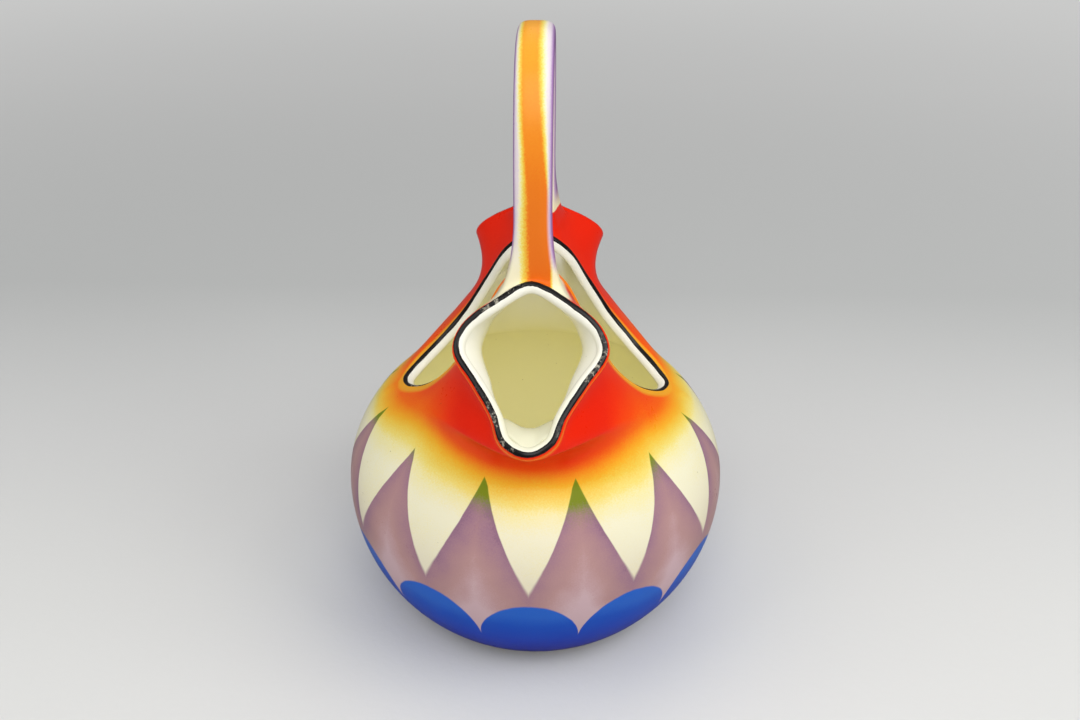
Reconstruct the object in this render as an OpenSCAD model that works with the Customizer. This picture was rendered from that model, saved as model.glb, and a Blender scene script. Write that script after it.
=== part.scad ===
// Two-spouted jug with a hoop handle: a round bowl on a foot ring, two flared spouts set back to
// back over a saddle-shaped opening, one hoop handle and fired-on black lines along the three edges.
// Millimetres, standing on the table at height zero; the front spout looks along minus Y.

/* [Bowl] */
// width across the round bowl at its widest level
bowl_d = 170; // [140:1:200]
// height of the widest level above the table
bowl_mid_z = 62; // [54:1:70]
// drop from the widest level to where the lower curve would close
bowl_low_h = 82; // [74:1:96]
// rise from the widest level to where the upper curve would close
bowl_top_h = 67; // [60:1:80]
// level where the spouts are joined on to the bowl
joint_z = 100; // [96:1:103]
// thickness of the clay wall
wall = 4.5; // [3:0.25:6]
// thickness of the clay floor
floor_t = 5; // [3:0.5:8]

/* [Foot] */
// width across the foot ring
foot_d = 112; // [90:1:114]
// height of the foot ring
foot_h = 3; // [2:0.5:5]
// breadth of the foot ring's standing face with its two bevels
foot_w = 9; // [6:0.5:14]
// bevel on the foot ring's two lower edges
foot_bevel = 1; // [0.5:0.25:1.5]

/* [Spouts] */
// distance from the middle plane to the inner corner of a mouth
mouth_in_y = 41; // [38:1:46]
// height of the inner corner of a mouth
mouth_in_z = 176.5; // [170:0.5:184]
// distance from the middle plane to the pouring tip
mouth_tip_y = 91.5; // [86:0.5:96]
// height of the pouring tip
mouth_tip_z = 129; // [124:0.5:134]
// width of a mouth between its two side corners
mouth_w = 59; // [50:1:66]
// dip of the mouth's two side corners below the line from tip to inner corner
mouth_dip = 5.4; // [0:0.1:8]
// thickness of the mouth's edge, measured in the plane of the mouth
rim_t = 5; // [3:0.1:6]
// angle at which the wall flares out at the pouring tip, outside
tip_flare = 40; // [20:1:50]
// angle at which the wall flares out at the pouring tip, inside
tip_flare_in = 62; // [30:1:68]
// how far the mouth's edge spreads out from the neck at each side, outside
mouth_spread = 6; // [2:0.5:8]
// how far the mouth's edge spreads out from the neck at each side, inside
mouth_spread_in = 8; // [4:0.5:10]
// half breadth of the gutter that runs up to the pouring tip
gutter_r = 8; // [5:0.5:10]
// how far the sides of the pouring gutter rise inside the mouth
gutter_lift = 9; // [4:0.5:10]

/* [Opening] */
// rise from the joint to the lowest points of the opening between the spouts
open_low_rise = 7.5; // [6:0.5:11]
// height of the opening's edge where it runs below the handle
open_top_z = 173; // [168:1:176]
// longest reach of the opening between the two spouts
open_l = 52; // [44:1:56]
// thickness of the opening's edge
lip_t = 4.5; // [3:0.1:5.5]

/* [Handle] */
// height of the top of the handle
handle_top_z = 263; // [240:1:290]
// width of the handle
handle_w = 14.5; // [11:0.5:17]
// depth of the handle, measured through the hoop
handle_d = 12; // [10:0.5:15]
// distance from the middle plane to the middle of a handle leg
handle_leg_y = 33; // [31:0.5:35]
// height over which the foot of a leg spreads
handle_spread_h = 26; // [18:1:34]

/* [Black lines] */
// thickness of the fired-on black line
line_t = 0.35; // [0.25:0.05:0.6]
// part of a mouth's half-round edge that stays bare outside its line
mouth_bare_out_angle = 46; // [40:1:60]
// part of a mouth's half-round edge that stays bare inside its line
mouth_bare_in_angle = 74; // [50:1:85]
// part of the opening's half-round edge that stays bare outside its line
open_bare_out_angle = 32; // [20:1:45]
// part of the opening's half-round edge that stays bare inside its line
open_bare_in_angle = 92; // [70:1:100]

/* [Fineness] */
// steps up the seam between the two spouts
seam_n = 2; // [1:1:4]
// steps from there up to the pouring tip
cove_n = 5; // [3:1:8]
// steps along half of a mouth's edge
mouth_n = 16; // [10:1:20]
// steps across half of a spout's wall
across_n = 12; // [8:1:16]
// steps along the hoop of the handle
hoop_n = 30; // [20:2:40]
// steps up the bowl's profile
bowl_n = 30; // [16:1:48]

/* [Hidden] */
// outline of a mouth from tip to inner corner: shares of half the width and of the length
mouth_shares = [[0, 0], [0.34, 0.075], [0.5, 0.24], [0.72, 0.4], [1, 0.6], [0.9, 0.765], [0.5, 0.9], [0, 1]];
// edge of the opening from its low side to below the handle: shares of its half width, half reach and rise
lip_shares = [[1, 0, 0], [0.925, 0.44, 0.04], [0.756, 0.827, 0.16], [0.555, 1, 0.36],
    [0.37, 0.92, 0.634], [0.2, 0.71, 0.893], [0, 0.635, 1]];
// place along the opening's edge that stands level with the pouring tip, in outline steps
tip_place = 1.7;
// share of the bowl's own half width that the opening's low edge keeps
open_in_share = 0.955;
// pull of the front line under the tip at its lower and upper end, as shares of the straight distance
cove_low_share = 0.9;
cove_high_share = 0.8;
// the same two shares for the inside of the wall
cove_in_low_share = 1.2;
cove_in_high_share = 1.6;
// where the gutter's sides begin and reach their full rise: from joint to tip, up the mouth, across the wall,
// and out to the side in gutter radii
gutter_low_shares = [0.3, 0.75];
gutter_high_shares = [0.05, 0.3];
gutter_across_shares = [0.4, 0.75];
gutter_side_shares = [1.125, 2.125];
// power of the dip at the mouth's side corners
dip_power = 1.4;
// powers by which a level row narrows towards the front: round at the bowl, drawn in at the neck
round_power = [2, 1];
drawn_power = [1.6, 1.8];
// how late the mouth's edge spreads outside and inside, and the largest part of its half width that is spread
spread_late = 1.6;
spread_late_in = 4;
spread_share = 0.5;
// how often the lower rows are evened out, and how late this fades towards the front line
even_times = 6;
even_late = 3;
// crowding of the rows towards the handle, along the mouth and along the opening
mouth_crowding = 1.5;
lip_crowding = 1.15;
// angle over which the steps across a wall close up towards the front line
across_angle = 84;
// steps over the half-round of an edge
round_n = 6;
// share of an outline step over which its direction is taken
step_share = 0.01;
// powers that square off the handle's cross-section and its hoop
section_power = 0.55;
hoop_power = 0.8;
// rows on each side of the middle, and steps left free towards the lip and the mouth, under a handle's foot
root_side_n = 3;
root_lip_free = 1;
root_mouth_free = 2;
// steps up the spread of a handle's foot and how quickly it narrows
spread_n = 6;
spread_power = 2.2;

bowl_r = bowl_d / 2;
open_low_z = joint_z + open_low_rise;
foot_r = foot_d / 2;
mouth_tip = [0, -mouth_tip_y, mouth_tip_z];
mouth_in = [0, -mouth_in_y, mouth_in_z];
mouth_len = norm(mouth_in - mouth_tip);
mouth_up = (mouth_in - mouth_tip) / mouth_len;
mouth_out = [0, -mouth_up[2], mouth_up[1]];
$fn = 96;

// half width of the bowl at height z, outside or with a wall taken off
function bowl_at(z, off) =
    let (span = (z < bowl_mid_z ? bowl_low_h : bowl_top_h) - off)
    (bowl_r - off) * sqrt(max(0, 1 - pow((z - bowl_mid_z) / span, 2)));
// how the bowl draws in per unit of height at the joint
joint_draw = -bowl_r * (joint_z - bowl_mid_z) / pow(bowl_top_h, 2)
    / sqrt(1 - pow((joint_z - bowl_mid_z) / bowl_top_h, 2));
joint_r = bowl_at(joint_z, 0);
joint_in_r = bowl_at(joint_z, wall);
open_low_x = bowl_at(open_low_z, 0) * open_in_share;

function unit(v) = v / norm(v);
function mix(a, b, share) = a * (1 - share) + b * share;
function flip_x(points) = [for (p = points) [p[0] == 0 ? 0 : -p[0], p[1], p[2]]];
function flip_y(points) = [for (p = points) [p[0], p[1] == 0 ? 0 : -p[1], p[2]]];
function turned(list) = [for (i = [len(list) - 1:-1:0]) list[i]];
function part_of(list, from, to) = [for (i = [from:to]) list[i]];

// smooth curve through keys that carry one spare key at each end
function curve(keys, u) =
    let (i = min(floor(u), len(keys) - 4), f = u - i,
        a = keys[i], b = keys[i + 1], c = keys[i + 2], d = keys[i + 3])
    (2 * b + (c - a) * f + (2 * a - 5 * b + 4 * c - d) * f * f + (3 * b - a - 3 * c + d) * f * f * f) / 2;

// half-round from one edge point to the other, swelling towards dir
round_angles = [for (i = [0:round_n]) 180 * i / round_n];
function line_angles(first, last) = [for (i = [0:round_n - 2]) mix(first, 180 - last, i / (round_n - 2))];
mouth_line_angles = line_angles(mouth_bare_out_angle, mouth_bare_in_angle);
open_line_angles = line_angles(open_bare_in_angle, open_bare_out_angle);
function half_round(from, to, dir, grow, angles) =
    let (mid = (from + to) / 2, r = norm(from - to) / 2 + grow, side = unit(from - to))
    [for (q = angles) q == 0 ? from : q == 180 ? to : mid + side * r * cos(q) + dir * r * sin(q)];

// mouth outline with its spare keys
mouth_last = len(mouth_shares) - 1;
mouth_keys = concat([[-mouth_shares[1][0], mouth_shares[1][1]]], mouth_shares,
    [[-mouth_shares[mouth_last - 1][0], mouth_shares[mouth_last - 1][1]]]);
function mouth_at(u) = let (k = curve(mouth_keys, u))
    mouth_tip + mouth_up * mouth_len * k[1] + [mouth_w / 2 * k[0], 0, 0]
    - mouth_out * mouth_dip * pow(abs(k[0]), dip_power);
// direction out of the mouth's outline, in the plane of the mouth
function mouth_side(u) = u <= 0 ? -mouth_up : u >= mouth_last ? mouth_up
    : let (ahead = mouth_at(u + step_share) - mouth_at(u - step_share)) unit(cross(ahead, mouth_out));

// opening edge with its spare keys
lip_last = len(lip_shares) - 1;
lip_places = [for (k = lip_shares)
    [open_low_x * k[0], -open_l / 2 * k[1], open_low_z + (open_top_z - open_low_z) * k[2]]];
lip_keys = concat(flip_y([lip_places[1]]), lip_places, flip_x([lip_places[lip_last - 1]]));
function lip_at(u) = curve(lip_keys, u);
function lip_along(u) = u <= 0 ? [0, -1, 0] : u >= lip_last ? [-1, 0, 0]
    : unit(lip_at(u + step_share) - lip_at(u - step_share));
// outward direction of the wall at the opening's edge: square to the shoulder below, upright at the top
low_face = unit([1, 0, -joint_draw]);
function lip_face(u) =
    let (along = lip_along(u), lean = mix(low_face, [0, 0, 1], u / lip_last))
    unit(lean - along * (lean * along));
function lip_swell(u) = cross(lip_along(u), lip_face(u));

// rows of a spout's right wall from the joint up to the handle: where each meets opening and mouth
low_n = seam_n + cove_n;
row_n = low_n + mouth_n;
lip_steps = concat([for (i = [0:cove_n - 1]) tip_place * i / cove_n],
    [for (i = [0:mouth_n]) tip_place + (lip_last - tip_place) * (1 - pow(1 - i / mouth_n, lip_crowding))]);
mouth_steps = [for (i = [0:mouth_n]) mouth_last * (1 - pow(1 - i / mouth_n, mouth_crowding))];
lip_out = [for (u = lip_steps) lip_at(u)];
lip_in = [for (u = lip_steps) lip_at(u) - lip_face(u) * lip_t];
mouth_edge_out = [for (u = mouth_steps) mouth_at(u)];
mouth_edge_in = [for (u = mouth_steps) mouth_at(u) - mouth_side(u) * rim_t];
// seam between the two spouts, leaving the bowl along its own curve
function seam(low_r, high) = [for (i = [0:seam_n - 1])
    let (v = i / seam_n, rise = high[2] - joint_z, straight = low_r + joint_draw * rise)
    [mix(low_r, straight, v) + (high[0] - straight) * v * v, 0, joint_z + rise * v]];
row_from_out = concat(seam(joint_r, lip_out[0]), lip_out);
row_from_in = concat(seam(joint_in_r, lip_in[0]), lip_in);
// front line from the joint out to the tip
joint_dir = unit([0, -joint_draw, 1]);
function cove(low, high, flare, low_share, high_share) = [for (i = [0:low_n - 1])
    let (v = i / low_n, reach = norm(high - low), tip_dir = cos(flare) * mouth_out - sin(flare) * mouth_up)
    low * (2 * v * v * v - 3 * v * v + 1) + high * (3 * v * v - 2 * v * v * v)
    + joint_dir * reach * low_share * (v * v * v - 2 * v * v + v)
    + tip_dir * reach * high_share * (v * v * v - v * v)];
row_to_out = concat(cove([0, -joint_r, joint_z], mouth_edge_out[0], tip_flare, cove_low_share,
    cove_high_share), mouth_edge_out);
row_to_in = concat(cove([0, -joint_in_r, joint_z], mouth_edge_in[0], tip_flare_in, cove_in_low_share,
    cove_in_high_share), mouth_edge_in);

// place of a point across the wall, from the opening's edge to the middle
function across_at(k) = k == across_n ? 1 : sin(across_angle * k / across_n) / sin(across_angle);
// one row of the wall: half width from the opening's edge to the front line or the mouth
function wall_row(i, from, to, most, late) =
    let (spread = min(most, to[0] * spread_share), neck = to[0] - spread,
        up = min(1, i / low_n), share = up * up * (3 - 2 * up), power = mix(round_power, drawn_power, share),
        gutter = max(0, pow(gutter_r * share, 2) - neck * neck))
    [for (k = [0:across_n]) let (m = across_at(k),
        near = pow(1 - pow(m, power[0]), power[1]),
        x = sqrt(from[0] * from[0] * near + neck * neck * (1 - near) + gutter * 4 * m * m * (1 - m * m)))
        k == 0 ? from : k == across_n ? to
        : [i == row_n ? 0 : x + spread * pow(m, late), mix(from[1], to[1], m), mix(from[2], to[2], m)]];
// rows between joint and tip evened out with their neighbours, most beside the opening
function evened(rows, times) = times == 0 ? rows : evened([for (i = [0:row_n])
    [for (k = [0:across_n]) let (p = rows[i][k], part = 1 - pow(k / across_n, even_late))
        i == 0 || i >= low_n || k == 0 ? p : mix(p, (rows[i - 1][k] + rows[i + 1][k]) / 2, part / 2)]],
    times - 1);
// smooth step between two bounds, and the sides of the pouring gutter lifted so that it is round across
function eased(value, bounds) =
    let (part = min(1, max(0, (value - bounds[0]) / (bounds[1] - bounds[0])))) part * part * (3 - 2 * part);
function gutter_sides(rows) = [for (i = [0:row_n])
    let (rise = gutter_lift * eased(i / low_n, gutter_low_shares)
        * (1 - eased((i - low_n) / mouth_n, gutter_high_shares)))
    [for (k = [0:across_n]) let (p = rows[i][k], over = max(0, p[0] - rows[i][across_n][0]) / gutter_r,
        near = eased(across_at(k), gutter_across_shares) * (1 - eased(p[0] / gutter_r, gutter_side_shares)))
        p + [0, 0, rise * near * over * over / (1 + over * over)]]];
wall_out = evened([for (i = [0:row_n])
    wall_row(i, row_from_out[i], row_to_out[i], mouth_spread, spread_late)], even_times);
wall_in = gutter_sides(evened([for (i = [0:row_n])
    wall_row(i, row_from_in[i], row_to_in[i], mouth_spread_in, spread_late_in)], even_times));
lip_rounds = [for (i = [0:len(lip_steps) - 1])
    half_round(lip_in[i], lip_out[i], lip_swell(lip_steps[i]), 0, round_angles)];
mouth_rounds = [for (i = [0:mouth_n])
    half_round(mouth_edge_out[i], mouth_edge_in[i], mouth_out, 0, round_angles)];
seam_strip = [part_of(row_from_out, 0, seam_n), part_of(row_from_in, 0, seam_n)];
lip_end = turned(lip_rounds[0]);

// a grid of points seen from the other side, and its mirror image
function backed(grid) = [for (r = grid) turned(r)];
function mirrored(grid) = [for (r = grid) turned(flip_x(r))];

// closed solid from grids of points and flat faces that meet along shared edges
module solid_of(grids, flats) {
    starts = [for (i = 0, s = 0; i < len(grids); s = s + len(grids[i]) * len(grids[i][0]), i = i + 1) s];
    grid_end = starts[len(grids) - 1] + len(grids[len(grids) - 1]) * len(grids[len(grids) - 1][0]);
    flat_starts = [for (i = 0, s = grid_end; i < len(flats); s = s + len(flats[i]), i = i + 1) s];
    polyhedron(points = concat([for (g = grids) for (r = g) for (p = r) p], [for (f = flats) for (p = f) p]),
        faces = concat(
            [for (i = [0:len(grids) - 1]) let (m = len(grids[i][0]))
                for (j = [0:len(grids[i]) - 2]) for (k = [0:m - 2])
                let (a = starts[i] + j * m + k)
                each [[a, a + 1, a + m + 1], [a, a + m + 1, a + m]]],
            [for (i = [0:1:len(flats) - 1]) [for (k = [0:len(flats[i]) - 1]) flat_starts[i] + k]]));
}

// closed solid through a ring of closed cross-sections
module ring_of(lines) {
    closed = concat([for (l = lines) concat(l, [l[0]])], [concat(lines[0], [lines[0][0]])]);
    solid_of([closed], []);
}

module bowl() color("#efe3c8") {
    rise = joint_z - foot_h;
    inside = joint_z - foot_h - floor_t;
    rotate_extrude() polygon(concat(
        [[0, foot_h]],
        [for (i = [0:bowl_n]) let (z = foot_h + rise * i / bowl_n) [bowl_at(z, 0), z]],
        [for (i = [0:bowl_n]) let (z = joint_z - inside * i / bowl_n) [bowl_at(z, wall), z]],
        [[0, foot_h + floor_t]]));
}

module foot_ring() color("#cfc3a8") {
    inner_r = foot_r - foot_w;
    rotate_extrude() polygon([[inner_r, foot_h], [foot_r, foot_h], [foot_r, foot_bevel],
        [foot_r - foot_bevel, 0], [inner_r + foot_bevel, 0], [inner_r, foot_bevel]]);
}

module spout() {
    joint = [wall_in[0], wall_out[0]];
    right = [wall_out, backed(wall_in), lip_rounds, mouth_rounds, joint, seam_strip];
    left = [for (g = right) mirrored(g)];
    solid_of(concat(right, left), [lip_end, turned(flip_x(lip_end))]);
}

module front_spout() color("#e2511c") spout();

module rear_spout() color("#d8481a") rotate([0, 0, 180]) spout();

// cross-section of a black line over an edge's half-round
function band(from, to, dir, angles) = concat(half_round(from, to, dir, line_t, angles),
    turned(half_round(from, to, dir, 0, angles)));

module mouth_line() {
    lines = [for (i = [0:mouth_n]) band(mouth_edge_out[i], mouth_edge_in[i], mouth_out, mouth_line_angles)];
    ring_of(concat(lines, [for (i = [mouth_n - 1:-1:1]) flip_x(lines[i])]));
}

module front_mouth_line() color("#15151a") mouth_line();

module rear_mouth_line() color("#15151a") rotate([0, 0, 180]) mouth_line();

module opening_line() color("#15151a") {
    last = len(lip_steps) - 1;
    lines = [for (i = [0:last]) band(lip_in[i], lip_out[i], lip_swell(lip_steps[i]), open_line_angles)];
    front = concat(lines, [for (i = [last - 1:-1:0]) flip_x(lines[i])]);
    ring_of(concat(front, [for (i = [2 * last - 1:-1:1]) flip_y(front[i])]));
}

// border of a handle's foot on the spout's wall, from the mouth side round by the right
root_low = root_lip_free;
root_high = across_n - root_mouth_free;
function wall_point(side, k) = side >= 0 ? wall_out[row_n - side][k] : flip_x([wall_out[row_n + side][k]])[0];
root_border = concat(
    [for (i = [0:root_side_n]) wall_point(i, root_high)],
    [for (k = [root_high - 1:-1:root_low]) wall_point(root_side_n, k)],
    [for (i = [root_side_n - 1:-1:-root_side_n]) wall_point(i, root_low)],
    [for (k = [root_low + 1:root_high]) wall_point(-root_side_n, k)],
    [for (i = [-root_side_n + 1:-1]) wall_point(i, root_high)]);
root_rows = root_high - root_low;
loop_n = 2 * root_rows + 4 * root_side_n;
// angle round the handle's cross-section of each border point, corners at the diagonals
loop_angles = [for (i = [0:loop_n - 1])
    let (right = root_side_n, below = right + root_rows, left = below + 2 * root_side_n,
        above = left + root_rows)
    i <= right ? 90 - 45 * i / right
    : i <= below ? 45 - 90 * (i - right) / root_rows
    : i <= left ? -45 - 90 * (i - below) / (2 * root_side_n)
    : i <= above ? -135 - 90 * (i - left) / root_rows
    : -225 - 45 * (i - above) / root_side_n];
function softened(v, power) = sign(v) * pow(abs(v), power);
// cross-section of the handle at an angle along the hoop, from front leg to rear leg
hoop_low_z = max([for (p = root_border) p[2]]) + handle_spread_h;
hoop_rise = handle_top_z - handle_d / 2 - hoop_low_z;
function hoop_at(a) = [0, -handle_leg_y * softened(cos(a), hoop_power),
    hoop_low_z + hoop_rise * softened(sin(a), hoop_power)];
function hoop_section(a) =
    let (along = a < step_share ? [0, 0, 1] : a > 180 - step_share ? [0, 0, -1]
            : unit(hoop_at(a + step_share) - hoop_at(a - step_share)),
        outward = cross([1, 0, 0], along))
    [for (q = loop_angles) hoop_at(a) + [handle_w / 2 * softened(cos(q), section_power), 0, 0]
        + outward * handle_d / 2 * softened(sin(q), section_power)];
leg_foot = hoop_section(0);
spread = [for (i = [0:spread_n - 1]) let (v = i / spread_n, narrow = 1 - pow(1 - v, spread_power))
    [for (k = [0:loop_n - 1]) let (flat = mix(root_border[k], leg_foot[k], narrow),
        up = mix(root_border[k], leg_foot[k], v)) [flat[0], flat[1], up[2]]]];
// inner points of the foot's face on the spout's wall, row by row from the lip
root_inside = [for (k = [root_low + 1:root_high - 1]) for (i = [-root_side_n + 1:root_side_n - 1])
    wall_point(i, k)];

// place in the point list of a point on the foot's face: on its border or inside it
function root_index(side, row, border_from, inner_from) =
    row == root_high ? border_from + (side >= 0 ? side : loop_n + side)
    : row == root_low ? border_from + 2 * root_side_n + root_rows - side
    : side == root_side_n ? border_from + root_side_n + root_high - row
    : side == -root_side_n ? border_from + 3 * root_side_n + root_rows + row - root_low
    : inner_from + (row - root_low - 1) * (2 * root_side_n - 1) + side + root_side_n - 1;
root_cells = [for (row = [root_low:root_high - 1]) for (side = [-root_side_n:root_side_n - 1]) [side, row]];
function root_corners(cell, border_from, inner_from) = [for (c = [[0, 0], [1, 0], [1, 1], [0, 1]])
    root_index(cell[0] + c[0], cell[1] + c[1], border_from, inner_from)];

module handle() color("#f08a24") {
    rings = concat(spread, [for (i = [0:hoop_n]) hoop_section(180 * i / hoop_n)],
        [for (i = [spread_n - 1:-1:0]) flip_y(spread[i])]);
    n = len(rings);
    front_from = n * loop_n;
    rear_from = front_from + len(root_inside);
    last = (n - 1) * loop_n;
    polyhedron(points = concat([for (r = rings) for (p = r) p], root_inside, flip_y(root_inside)),
        faces = concat(
            [for (j = [0:n - 2]) for (k = [0:loop_n - 1])
                let (a = j * loop_n + k, b = j * loop_n + (k + 1) % loop_n)
                each [[a, b + loop_n, b], [a, a + loop_n, b + loop_n]]],
            [for (c = root_cells) let (q = root_corners(c, 0, front_from))
                each [[q[0], q[3], q[1]], [q[1], q[3], q[2]]]],
            [for (c = root_cells) let (q = root_corners(c, last, rear_from))
                each [[q[0], q[1], q[2]], [q[0], q[2], q[3]]]]));
}

bowl();
foot_ring();
front_spout();
rear_spout();
handle();
front_mouth_line();
rear_mouth_line();
opening_line();
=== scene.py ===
"""Looks of the two-spouted jug.

A smooth glazed skin stands for its solids, with sprayed colours and black edge lines, in studio light.
"""

import bpy
import numpy as np
from mathutils import Matrix, Vector


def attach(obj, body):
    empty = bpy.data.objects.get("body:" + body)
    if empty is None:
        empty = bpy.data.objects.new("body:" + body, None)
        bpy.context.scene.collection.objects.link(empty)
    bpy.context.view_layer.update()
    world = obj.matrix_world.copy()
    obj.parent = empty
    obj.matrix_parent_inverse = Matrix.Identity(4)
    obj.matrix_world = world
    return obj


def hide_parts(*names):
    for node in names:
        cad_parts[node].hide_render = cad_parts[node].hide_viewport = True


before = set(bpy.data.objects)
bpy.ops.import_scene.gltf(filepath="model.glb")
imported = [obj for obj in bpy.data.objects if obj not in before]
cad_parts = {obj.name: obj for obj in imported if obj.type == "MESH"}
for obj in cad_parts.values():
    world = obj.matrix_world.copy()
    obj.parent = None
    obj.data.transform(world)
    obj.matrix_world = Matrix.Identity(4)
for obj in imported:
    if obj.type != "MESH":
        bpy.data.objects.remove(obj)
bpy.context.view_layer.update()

scene = bpy.context.scene
MM = 0.001

# Driving sizes of the jug in millimetres, the same as those of its solids
BOWL_R = 85
BOWL_MID_Z = 62
BOWL_LOW_H = 82
BOWL_TOP_H = 67
JOINT_Z = 100
WALL = 4.5
FLOOR_T = 5
FOOT_H = 3
MOUTH_IN_Y = 41
MOUTH_IN_Z = 176.5
MOUTH_TIP_Y = 91.5
MOUTH_TIP_Z = 129
MOUTH_W = 59
MOUTH_DIP = 5.4
RIM_T = 5
TIP_FLARE = np.radians(40)
TIP_FLARE_IN = np.radians(62)
MOUTH_SPREAD = 6
MOUTH_SPREAD_IN = 8
GUTTER_R = 8
GUTTER_LIFT = 9
OPEN_LOW_RISE = 7.5
OPEN_TOP_Z = 173
OPEN_L = 52
LIP_T = 4.5
HANDLE_TOP_Z = 263
HANDLE_W = 14.5
HANDLE_D = 12
HANDLE_LEG_Y = 33
HANDLE_SPREAD_H = 26
LINE_T = 0.35
MOUTH_LINE_OUT, MOUTH_LINE_IN = 46, 74
LIP_LINE_OUT, LIP_LINE_IN = 32, 92

# Softer forms that the visible skin alone has. The opening's edges face up into it and are flatter than
# half-rounds, the corners at the foot and the floor are eased, and so is the corner round the handle's feet.
LIP_BEVEL, LIP_DEPTH = 3, 0.6
CORNER_R, FLOOR_R = 3, 12
EASE_REACH, EASE_TIMES, EASE_SHARE = 9, 40, 0.5
# Black lines as the photo shows them: narrower, and turned in or out by degrees between two heights
LINE_NARROWED = 8
NEAR_LIP_TURN, NEAR_LIP_TURNS = 50, (108, 126)
REAR_MOUTH_TURN, REAR_MOUTH_TURNS = -30, (140, 155)
# Places across the rounded edges where the finishes of the two sides meet, hidden under the turned lines
LIP_CUT, LIP_CUT_SHIFT = 0.667, -0.25
MOUTH_CUT, MOUTH_CUT_SHIFT = 0.417, 0.167

# Outline shares and powers of the solids' formulas
MOUTH_SHARES = np.array([[0, 0], [0.34, 0.075], [0.5, 0.24], [0.72, 0.4],
                         [1, 0.6], [0.9, 0.765], [0.5, 0.9], [0, 1]])
LIP_SHARES = np.array([[1, 0, 0], [0.925, 0.44, 0.04], [0.756, 0.827, 0.16], [0.555, 1, 0.36],
                       [0.37, 0.92, 0.634], [0.2, 0.71, 0.893], [0, 0.635, 1]])
TIP_PLACE = 1.7
OPEN_IN_SHARE = 0.955
COVE_SHARES, COVE_SHARES_IN = (0.9, 0.8), (1.2, 1.6)
GUTTER_LOW, GUTTER_HIGH = (0.3, 0.75), (0.05, 0.3)
GUTTER_ACROSS, GUTTER_SIDES = (0.4, 0.75), (9, 17)
DIP_POWER = 1.4
ROUND_POWER, DRAWN_POWER = np.array([2, 1]), np.array([1.6, 1.8])
SPREAD_LATE, SPREAD_SHARE = 1.6, 0.5
SPREAD_LATE_IN = 4
EVEN_TIMES, EVEN_LATE = 6, 3
MOUTH_CROWDING, LIP_CROWDING = 1.5, 1.15
ACROSS_ANGLE = np.radians(84)
SECTION_POWER, HOOP_POWER = 0.55, 0.8
SPREAD_POWER = 2.2

# Steps of the solids, each cut into FINE smaller ones
FINE = 3
SEAM_N, COVE_N, MOUTH_N, ACROSS_N = 2 * FINE, 5 * FINE, 16 * FINE, 12 * FINE
ROUND_N = 4 * FINE
HOOP_N, HOOP_SPREAD_N = 30 * FINE, 6 * FINE
ROOT_SIDE_N, ROOT_LIP_FREE, ROOT_MOUTH_FREE = 3 * FINE, 1 * FINE, 2 * FINE
BOWL_N, OUTLINE_N = 60, 300
LOW_N = SEAM_N + COVE_N
ROW_N = LOW_N + MOUTH_N
# Short step along a curve, least length of a direction, and points measured at a time
STEP, TINY, CHUNK = 0.01, 1e-9, 500


def unit(v):
    return v / np.maximum(np.linalg.norm(v, axis=-1, keepdims=True), TINY)


def mix(a, b, share):
    return a * (1 - share) + b * share


def eased(value, low, high):
    """Smooth step from 0 to 1 while a value goes from low to high."""
    part = np.clip((value - low) / (high - low), 0, 1)
    return part * part * (3 - 2 * part)


def bowl_at(z, off):
    """Radius of the bowl at a height, drawn in by a wall."""
    span = np.where(z < BOWL_MID_Z, BOWL_LOW_H, BOWL_TOP_H) - off
    return (BOWL_R - off) * np.sqrt(np.maximum(0, 1 - ((z - BOWL_MID_Z) / span) ** 2))


def curve(keys, u):
    """Smooth curve through keys that carry one spare key at each end."""
    u = np.asarray(u, float)
    i = np.clip(np.floor(u).astype(int), 0, len(keys) - 4)
    f = (u - i)[..., None]
    a, b, c, d = keys[i], keys[i + 1], keys[i + 2], keys[i + 3]
    return (2 * b + (c - a) * f + (2 * a - 5 * b + 4 * c - d) * f ** 2
            + (3 * b - a - 3 * c + d) * f ** 3) / 2


JOINT_R = float(bowl_at(JOINT_Z, 0))
JOINT_IN_R = float(bowl_at(JOINT_Z, WALL))
JOINT_RISE = (JOINT_Z - BOWL_MID_Z) / BOWL_TOP_H
JOINT_DRAW = -BOWL_R * JOINT_RISE / BOWL_TOP_H / np.sqrt(1 - JOINT_RISE ** 2)
OPEN_LOW_Z = JOINT_Z + OPEN_LOW_RISE
OPEN_LOW_X = float(bowl_at(OPEN_LOW_Z, 0)) * OPEN_IN_SHARE
TIP = np.array([0, -MOUTH_TIP_Y, MOUTH_TIP_Z])
MOUTH_UP = unit(np.array([0, -MOUTH_IN_Y, MOUTH_IN_Z]) - TIP)
MOUTH_LEN = np.linalg.norm(np.array([0, -MOUTH_IN_Y, MOUTH_IN_Z]) - TIP)
MOUTH_OUT = np.array([0, -MOUTH_UP[2], MOUTH_UP[1]])
MOUTH_LAST, LIP_LAST = len(MOUTH_SHARES) - 1, len(LIP_SHARES) - 1
MOUTH_KEYS = np.vstack([MOUTH_SHARES[1] * [-1, 1], MOUTH_SHARES, MOUTH_SHARES[-2] * [-1, 1]])
LIP_PLACES = LIP_SHARES * [OPEN_LOW_X, -OPEN_L / 2, OPEN_TOP_Z - OPEN_LOW_Z] + [0, 0, OPEN_LOW_Z]
LIP_KEYS = np.vstack([LIP_PLACES[1] * [1, -1, 1], LIP_PLACES, LIP_PLACES[-2] * [-1, 1, 1]])


def mouth_at(u):
    k = curve(MOUTH_KEYS, u)
    return (TIP + MOUTH_UP * MOUTH_LEN * k[:, 1:] + np.array([MOUTH_W / 2, 0, 0]) * k[:, :1]
            - MOUTH_OUT * MOUTH_DIP * np.abs(k[:, :1]) ** DIP_POWER)


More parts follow.
